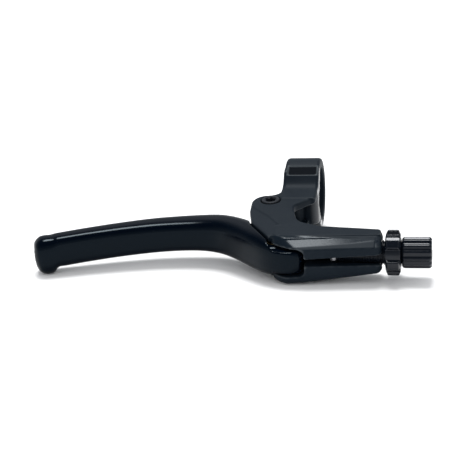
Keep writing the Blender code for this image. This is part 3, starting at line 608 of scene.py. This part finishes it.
def gloss_paint():
    """Gloss black over a polished casting: a faint waviness along the blade, orange peel and specks of
    dust."""
    material, shader, place = new_material("gloss_black_paint", GLOSS_BLACK, Specular_IOR_Level=0.11,
                                           Specular_Tint=(0.68, 0.88, 1.0, 1.0))
    peel = place.noise(320.0, 2.0, 0.5)
    along = place.node("Mapping", {}, {"Vector": place, "Scale": (0.25, 1.0, 1.0)})
    wave = along.noise(240.0, 2.0, 0.5)
    dust = place.noise(2600.0, 1.0, 0.4).between(0.74, 0.82)
    feed(shader, Base_Color=dust.mix(GLOSS_BLACK, DUST_GREY), Roughness=0.13 + wave * 0.08 + dust * 0.2,
         Normal=bumped(peel * 0.4 + wave * 0.6, 0.06, 0.25))
    return material


gloss_black_paint = gloss_paint()
casting = surface_net("blade_casting", blade_field, (-106.1, -71.1, -9.75), (10, -15, 9), BLADE_STEP)
blade = smooth_object(casting, gloss_black_paint)
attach(blade, "blade")
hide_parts("lever_blade")


# ---- Pivot set ----
# The blade turns on a steel sleeve between the plates, in two flanged nylon bushes with a thin washer
# outside each. A black flanged screw from above and a nut sunk in the lower plate clamp the sleeve.

SLEEVE_HALF = 5.1                # half length of the sleeve
SLEEVE_HOLE_R = 2.7
BUSH_HOLE_R = 3.5
PIVOT_SCREW_R = 2.4
SCREW_TOP = 8.9
HALF_FLAT = np.radians(30.0)     # from the middle of a hexagon's side to its corner


def hexagon(angle):
    """How much further a hexagon reaches than its inscribed circle: one over the cosine of the angle from
    the middle of the nearest side."""
    return 1.0 / np.cos((angle + HALF_FLAT) % (2 * HALF_FLAT) - HALF_FLAT)


def turned(name, profile, centre, axis="Z", around=96, closed=False, swell=None):
    """A turned piece: each row of the profile is (radius, height, six-sidedness), carried round an axis
    through centre. Six-sidedness blends the circle into a hexagon, and swell(angle, height) is added to the
    radius. A closed profile makes a ring; any other is closed on the axis at both ends."""
    rows = np.array([(*row, 0.0)[:3] for row in profile], float)
    radius, height, six = (column[:, None] for column in rows.T)
    angle = np.linspace(0.0, math.tau, around, endpoint=False)[None, :]
    radius = radius * (1.0 + six * (hexagon(angle) - 1.0))
    if swell is not None:
        radius = radius + swell(angle, height)
    rings = np.stack([radius * np.cos(angle), radius * np.sin(angle), height + 0.0 * radius], axis=-1)
    if axis == "X":
        rings = rings[..., [2, 0, 1]]
    rings = rings + np.array(centre)
    count = len(rings)
    points = rings.reshape(-1, 3)
    corner = np.arange(count * around).reshape(count, around)
    beside, ahead = np.roll(corner, -1, axis=1), np.roll(corner, -1, axis=0)
    quads = np.stack([corner, beside, np.roll(ahead, -1, axis=1), ahead], axis=-1)
    faces = quads[:count if closed else count - 1].reshape(-1, 4).tolist()
    if not closed:
        points = np.vstack([points, rings[0].mean(axis=0), rings[-1].mean(axis=0)])
        first, last = np.full(around, count * around), np.full(around, count * around + 1)
        faces += np.stack([beside[0], corner[0], first], axis=-1).tolist()
        faces += np.stack([corner[-1], beside[-1], last], axis=-1).tolist()
    mesh = bpy.data.meshes.new(name)
    mesh.from_pydata((points * MM).tolist(), [], faces)
    bm = bmesh.new()
    bm.from_mesh(mesh)
    bmesh.ops.recalc_face_normals(bm, faces=bm.faces)
    bm.to_mesh(mesh)
    bm.free()
    return mesh


def eased(corners, steps=5):
    """A profile whose (radius, height, rounding) corners are rounded, its first and last left as they
    are."""
    ends = [(*corners[0][:2], 0), *corners[1:-1], (*corners[-1][:2], 0)]
    return [tuple(point) for point in rounded(ends, steps)]


def ring(inner, outer, low, high, edge=0.12):
    """The closed profile of a washer or sleeve with eased rims."""
    corners = [(inner, low, edge), (outer, low, edge), (outer, high, edge), (inner, high, edge)]
    return [tuple(point) for point in rounded(corners, 4)]


def threads(low, high, pitch, depth):
    """Height rows for a screw thread, and its swell: a rounded groove that climbs one pitch each turn and
    fades in and out at the ends of the threaded length."""
    rows = np.arange(low, high, pitch / 8)

    def swell(angle, height):
        """Minus the depth, times the fade, times half of one plus the cosine of the climb."""
        climb = (height / pitch - angle / math.tau) % 1.0
        fade = rise(height, low, low + pitch) * (1.0 - rise(height, high - pitch, high))
        return -depth * fade * (0.5 + 0.5 * np.cos(math.tau * climb))
    return rows, swell


def machined(name, color, roughness, metallic, worn, wear, gloss=0.5):
    """Turned metal or nylon, plated, blackened or bare: a fine grain, cloudy gloss, and patches of its
    handled colour, worn, as strong as wear."""
    material, shader, place = new_material(name, color, Specular_IOR_Level=gloss, Metallic=metallic)
    cloud = place.noise(350.0, 3.0, 0.55)
    lines = place.noise(2700.0, 2.0, 0.6)
    feed(shader, Base_Color=(cloud.between(0.45, 0.8) * wear).mix(color, worn),
         Roughness=roughness + cloud * 0.12 + lines * 0.06, Normal=bumped(lines, 0.012, 0.3))
    return material


def fitted(mesh, material, body, node, sharp_degrees=40.0):
    """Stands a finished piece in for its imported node."""
    piece = smooth_object(mesh, material, sharp_degrees)
    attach(piece, body)
    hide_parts(node)
    return piece


black_oxide = machined("black_oxide_steel", (0.008, 0.010, 0.014, 1.0), 0.34, 0.15,
                       (0.02, 0.022, 0.026, 1.0), 0.5, 0.18)
zinc = machined("zinc_plated_steel", (0.42, 0.42, 0.44, 1.0), 0.3, 1.0, (0.3, 0.3, 0.3, 1.0), 0.6)
nylon = machined("nylon", (0.42, 0.41, 0.38, 1.0), 0.38, 0.0, (0.36, 0.35, 0.31, 1.0), 0.6)

screw_rows, screw_thread = threads(-8.6, 4.5, 0.8, 0.28)
head_low = HEAD_SEAT_Z + 0.3
profile = ([(0.001, -SCREW_TOP), (2.1, -SCREW_TOP)] + [(PIVOT_SCREW_R, h) for h in screw_rows]
           + eased([(PIVOT_SCREW_R, 4.6, 0), (PIVOT_SCREW_R, head_low, 0.2), (3.8, head_low, 0.15),
                    (3.8, SCREW_TOP, 0.45), (2.5, SCREW_TOP, 0.2), (2.3, SCREW_TOP - 0.25, 0)])
           + [(2.02, SCREW_TOP - 0.35, 1.0), (2.0, SCREW_TOP - 0.5, 1.0), (2.0, 6.9, 1.0), (1.9, 6.8, 1.0)])
mesh = turned("pivot_screw", profile, (*PIVOT, 0), swell=screw_thread)
fitted(mesh, black_oxide, "bracket", "pivot_bolt")

profile = ring(SLEEVE_HOLE_R, 3.2, -SLEEVE_HALF, SLEEVE_HALF, 0.08)
mesh = turned("sleeve", profile, (*PIVOT, 0), closed=True)
fitted(mesh, zinc, "bracket", "pivot_sleeve")

profile = [(2.7, -9.0), (2.9, -9.2), (3.7, -9.2), (3.85, -9.15, 0.4), (3.9, -9.0, 1.0), (3.9, -7.0, 1.0),
           (3.85, -6.85, 0.4), (3.7, -6.8), (2.9, -6.8), (2.7, -7.0)]
mesh = turned("sunk_nut", profile, (*PIVOT, 0), closed=True)
fitted(mesh, black_oxide, "bracket", "pivot_nut")

flange_z = HUB_Z + 0.3
bush = rounded([(BUSH_HOLE_R, 0.3, 0.1), (4.3, 0.3, 0.1), (4.3, flange_z, 0.05), (5.4, flange_z, 0.1),
                (5.4, 4.4, 0.15), (BUSH_HOLE_R, 4.4, 0.15)], 4)
shim = np.array(ring(BUSH_HOLE_R, 5.6, 4.65, SLEEVE_HALF, 0.1))
for side, up in (("upper", 1), ("lower", -1)):
    mesh = turned(side + "_flanged_bush", bush * (1, up), (*PIVOT, 0), closed=True)
    fitted(mesh, nylon, "blade", side + "_bush")
    mesh = turned(side + "_shim", shim * (1, up), (*PIVOT, 0), closed=True)
    fitted(mesh, zinc, "bracket", side + "_washer")


# ---- Cable anchor ----
# A turned brass barrel in the blade that swivels as the lever swings. The cable's nipple sits in its cross
# hole and the wire leaves through the slot below. A washer and a spring clip hold it in from underneath.

NIPPLE_R = 2.4                   # radius of the cross hole
WIRE_R = 1.0                     # and of the wire's hole beyond it


def anchor_field(x, y, z):
    """Distance to the anchor's skin: a stepped barrel less the nipple's seat, the wire's hole and its
    slot."""
    around = np.hypot(x - ANCHOR[0], y - ANCHOR[1])
    body = both(around - 2.6, span(z, -5.0, 4.0), 0.5)
    body = either(body, both(around - 2.9, span(z, -2.6, 4.2), 0.3), 0.1)
    body = either(body, both(around - 3.4, span(z, 4.0, 5.0), 0.3), 0.1)
    cross = np.hypot(y - ANCHOR[1], z)
    body = without(body, np.maximum(cross - NIPPLE_R, x - ANCHOR[0] + 0.5), 0.3)
    body = without(body, cross - WIRE_R, 0.2)
    return without(body, np.maximum(abs(y - ANCHOR[1]) - 0.8, z), 0.2)


brass = machined("brass", (0.26, 0.19, 0.09, 1.0), 0.42, 1.0, (0.16, 0.11, 0.05, 1.0), 0.7)
low, high = (ANCHOR[0] - 5.2, ANCHOR[1] - 5.2), (ANCHOR[0] + 5.2, ANCHOR[1] + 5.2)
mesh = surface_net("anchor_barrel", anchor_field, (*low, -5.6), (*high, 5.6), 0.16)
fitted(mesh, brass, "anchor", "cable_anchor", 180.0)
mesh = turned("anchor_shim", ring(2.9, 4.2, -3.7, -3.3, 0.08), (*ANCHOR, 0), closed=True)
fitted(mesh, zinc, "anchor", "anchor_washer")


def clip_field(x, y, z):
    """Distance to the spring clip: a flat ring with an open mouth."""
    around = np.hypot(x - ANCHOR[0], y - ANCHOR[1])
    body = both(both(around - 4.0, 2.9 - around, 0.1), span(z, -4.5, -4.0), 0.12)
    return without(body, np.maximum(abs(y - ANCHOR[1]) - 1.3, x - ANCHOR[0]), 0.4)


mesh = surface_net("spring_clip", clip_field, (*low, -5.0), (*high, -3.6), 0.11)
fitted(mesh, zinc, "anchor", "anchor_clip", 180.0)


# ---- Clamp screw ----
# A black M5 socket screw and its washer. The screw goes up through the sawn ear into the body, and pulls
# the ear up so that the band pinches the bar.

HEAD_BOTTOM = -BAND_R
HEAD_TOP = -13.3
CLAMP_SCREW_R = 2.4

clamp_rows, clamp_thread = threads(-7.0, 4.4, 0.8, 0.28)
profile = ([(1.9, 1.6 + HEAD_BOTTOM, 1.0), (2.0, 1.5 + HEAD_BOTTOM, 1.0), (2.0, 0.45 + HEAD_BOTTOM, 1.0),
            (2.03, 0.3 + HEAD_BOTTOM, 1.0)]
           + eased([(2.35, 0.2 + HEAD_BOTTOM, 0), (2.5, HEAD_BOTTOM, 0.1), (4.2, HEAD_BOTTOM, 0.5),
                    (4.2, HEAD_TOP, 0.15), (CLAMP_SCREW_R, HEAD_TOP, 0.2), (CLAMP_SCREW_R, -7.2, 0)])
           + [(CLAMP_SCREW_R, h) for h in clamp_rows] + [(2.0, 4.8)])
mesh = turned("clamp_screw", profile, (*CLAMP_SCREW, 0), swell=clamp_thread)
fitted(mesh, black_oxide, "clamp_bolt", "clamp_bolt")
mesh = turned("clamp_screw_washer", ring(2.7, 4.6, -13.0, -12.3), (*CLAMP_SCREW, 0), closed=True)
fitted(mesh, black_oxide, "bracket", "clamp_washer")


# ---- Reach screw ----
# A black M4 grub screw in the outer corner. Its tip meets the blade's heel and sets how far the blade rests
# from the grip. A nylon ring pressed in behind the thread keeps it from working loose.

TIP_X = PIVOT[0] - 2.9           # where the screw meets the heel
GRUB_R = 2.0

grub_rows, grub_thread = threads(-19.8, TIP_X - 0.9, 0.7, 0.24)
profile = ([(0.9, -19.0, 1.0), (1.0, -19.1, 1.0), (1.0, -20.0, 1.0), (1.05, -20.1, 1.0), (1.3, -20.2),
            (1.65, -20.2), (1.95, -19.95)] + [(GRUB_R, h) for h in grub_rows]
           + [(GRUB_R, TIP_X - 0.85), (1.2, TIP_X - 0.05), (1.1, TIP_X)])
mesh = turned("grub_screw", profile, (0, REACH_Y, 0), axis="X", around=72, swell=grub_thread)
fitted(mesh, black_oxide, "reach_screw", "reach_screw")
profile = ring(REACH_HOLE_R, 3.1, -16.2, -14.8, 0.15)
mesh = turned("lock_insert", profile, (0, REACH_Y, 0), axis="X", around=72, closed=True)
fitted(mesh, nylon, "bracket", "reach_insert")


# ---- Cable adjuster ----
# A hollow M10 barrel that the cable's housing ends in, with a fluted knob, and the six-lobed ring that
# locks it. Both are turned in aluminium, milled, slotted along one side for the cable and anodised black.

NECK_R = 4.9                     # thread over its crests
NECK_X = 20.0                    # its inner end
NECK_RELIEF_X = 43.4             # where the plain groove under the knob starts
THREAD_PITCH = 1.0
THREAD_DEPTH = 0.55
HOUSING_R = 2.7                  # seat of the cable's housing
HOUSING_X = 34.0                 # and its floor
WIRE_HOLE_R = 1.3
CABLE_SLOT = 1.0                 # half width of the slot along the barrel and the ring
KNOB_X = (44.5, 56.0)
KNOB_R = 6.2                     # knob over its ribs
KNOB_FLUTES = 14
FLUTE_DEPTH = 0.5
RING_X = (38.2, 44.2)
RING_HOLE_R = 5.1
LOBE_R = 8.9                     # lock ring over its lobes
NOTCH_R = 7.4                    # and in its notches
LOBES = 6
FIRST_NOTCH = 18.0               # degrees above the front
NOTCH_HALF = (14.0, 20.0)        # degrees from a notch's middle to where it starts to rise and to the lobe


def axle(x, y, z):
    """Distance from the cable's axis, and the angle above the front in degrees."""
    return np.hypot(y - CABLE_Y, z) + 0.0 * x, np.degrees(np.arctan2(z, CABLE_Y - y)) + 0.0 * x


def barrel_field(x, y, z):
    """Distance to the barrel's skin. The knob's radius falls by half the flute depth times one less the
    cosine of fourteen times the angle; the neck's falls in a groove that climbs one pitch each turn."""
    radius, angle = axle(x, y, z)
    flutes = KNOB_R - FLUTE_DEPTH / 2 * (1 - np.cos(np.radians(KNOB_FLUTES * angle)))
    knob = both(radius - flutes, span(x, *KNOB_X), 1.2)
    knob = both(knob, (radius - KNOB_R + 0.6 + span(x, *KNOB_X)) * 0.707, 0.4)
    groove = 0.5 - 0.5 * np.cos(np.radians(360.0 * x / THREAD_PITCH - angle))
    length = span(x, NECK_X, KNOB_X[0] + 2.0)
    neck = both((radius - NECK_R + THREAD_DEPTH * groove) * 0.85, length, 0.4)
    neck = np.where(x > NECK_RELIEF_X, both(radius - NECK_R + 0.6, length, 0.4), neck)
    body = either(knob, neck, 0.25)
    body = without(body, np.maximum(radius - HOUSING_R, HOUSING_X - x), 0.5)
    body = without(body, radius - WIRE_HOLE_R, 0.2)
    return without(body, np.maximum(abs(z) - CABLE_SLOT, CABLE_Y - y), 0.25)


def lock_ring_field(x, y, z):
    """Distance to the lock ring's skin. Its radius rises smoothly from the notches to the lobes with the
    angle from the middle of the nearest notch, and both rims are cut back in a cone."""
    radius, angle = axle(x, y, z)
    pitch = 360.0 / LOBES
    past = (angle - FIRST_NOTCH) % pitch
    lobe = NOTCH_R + (LOBE_R - NOTCH_R) * rise(np.minimum(past, pitch - past), *NOTCH_HALF)
    rim = span(x, *RING_X)
    body = both((radius - lobe) * 0.8, rim, 0.35)
    body = both(body, (radius - LOBE_R + 1.9 + 2.1 * rim) / 2.33, 0.3)
    body = without(body, radius - RING_HOLE_R, 0.5)
    return without(body, np.maximum(abs(z) - CABLE_SLOT, CABLE_Y - y), 0.3)


anodised = machined("black_anodised_aluminium", (0.004, 0.006, 0.010, 1.0), 0.07, 0.25,
                    (0.012, 0.015, 0.02, 1.0), 0.3, 0.35)
mesh = surface_net("fluted_barrel", barrel_field, (19.4, -63.8, -6.8), (56.8, -50.2, 6.8), 0.2)
fitted(mesh, anodised, "adjuster", "adjuster_barrel", 180.0)
mesh = surface_net("lobed_ring", lock_ring_field, (37.6, -66.6, -9.6), (44.8, -47.4, 9.6), 0.22)
fitted(mesh, anodised, "lock_ring", "lock_ring", 180.0)


# ---- Cable keeper ----
# A short pin of bright steel, pressed into the roof of the cable slot, which keeps the wire at the bottom
# of its channel.

profile = eased([(0.001, -1.25, 0), (1.4, -1.1, 0.5), (1.4, 4.9, 0.2), (0.001, 4.9, 0)])
mesh = turned("keeper_pin", profile, (*KEEPER, 0), around=48)
fitted(mesh, zinc, "bracket", "cable_keeper")


# ---- Studio ----
# A white table under one soft box and light from all round. The lever lies on the head of its clamp screw,
# the underside of its arm and its ball, so the table slopes a little in the lever's own frame.

TABLE_HEIGHT = -17.85            # of the table under the origin
TABLE_SLOPE = (-0.0149, -0.1263)  # its rise along X and Y
TABLE_HALF = 6000.0
VIEW_SIDE = math.radians(12.183)  # of the camera, from straight in front towards +X
VIEW_HEIGHT = math.radians(25.0)
VIEW_ROLL = math.radians(-5.199)
VIEW_DISTANCE = 498.887
VIEW_TARGET = Vector((-29.036, -33.269, 0.0))
VIEW_LENS = 95.575
SENSOR_WIDTH = 36.0
SOFT_BOX_POWER = 2.6
ROOM_POWER = 2.6
SKY = [(0.0, (0.85, 0.87, 0.9, 1.0)), (0.42, (0.38, 0.40, 0.43, 1.0)), (0.75, (0.045, 0.05, 0.06, 1.0))]

white = new_material("table_white", (0.86, 0.86, 0.86, 1.0), Roughness=0.6)[0]
corners = [(x * TABLE_HALF, y * TABLE_HALF) for x, y in ((-1, -1), (1, -1), (1, 1), (-1, 1))]
table = bpy.data.meshes.new("table")
table.from_pydata([(x * MM, y * MM, (TABLE_HEIGHT + TABLE_SLOPE[0] * x + TABLE_SLOPE[1] * y) * MM)
                   for x, y in corners], [], [(0, 1, 2, 3)])
floor = smooth_object(table, white)

out = Vector((math.sin(VIEW_SIDE) * math.cos(VIEW_HEIGHT), -math.cos(VIEW_SIDE) * math.cos(VIEW_HEIGHT),
              math.sin(VIEW_HEIGHT)))
camera = bpy.data.objects.new("camera", bpy.data.cameras.new("camera"))
camera.data.lens = VIEW_LENS
camera.data.sensor_width = SENSOR_WIDTH
camera.data.clip_start = 0.01
camera.data.clip_end = 50.0
facing = out.to_track_quat("Z", "Y").to_matrix().to_4x4()
camera.matrix_world = (Matrix.Translation((VIEW_TARGET + out * VIEW_DISTANCE) * MM)
                       @ facing @ Matrix.Rotation(VIEW_ROLL, 4, "Z"))
bpy.context.scene.collection.objects.link(camera)
bpy.context.scene.camera = camera


def sun(name, side, height, energy, angle):
    """A far light. Side is measured from straight behind the lever and height from level, in degrees, and
    angle is how wide the light looks."""
    side, height = math.radians(side), math.radians(height)
    light = bpy.data.objects.new(name, bpy.data.lights.new(name, "SUN"))
    light.data.energy = energy
    light.data.angle = math.radians(angle)
    towards = Vector((math.sin(side) * math.cos(height), math.cos(side) * math.cos(height), math.sin(height)))
    light.matrix_world = towards.to_track_quat("Z", "Y").to_matrix().to_4x4()
    bpy.context.scene.collection.objects.link(light)
    return light


sun("soft_box", -8.0, 66.0, SOFT_BOX_POWER, 22.0)
room = sun("bounced_light", 0.0, 90.0, ROOM_POWER, 150.0)
room.visible_glossy = False

world = bpy.data.worlds.new("studio")
world.use_nodes = True
bpy.context.scene.world = world
sky = world.node_tree
heading = Wire(sky, sky.nodes.new("ShaderNodeTexCoord").outputs["Generated"])
height = heading.part("Z")
glow = height.node("ValToRGB", {"stops": SKY}, {0: height})
sky.links.new(glow.socket, sky.nodes["Background"].inputs["Color"])
bpy.context.scene.view_settings.view_transform = "Standard"
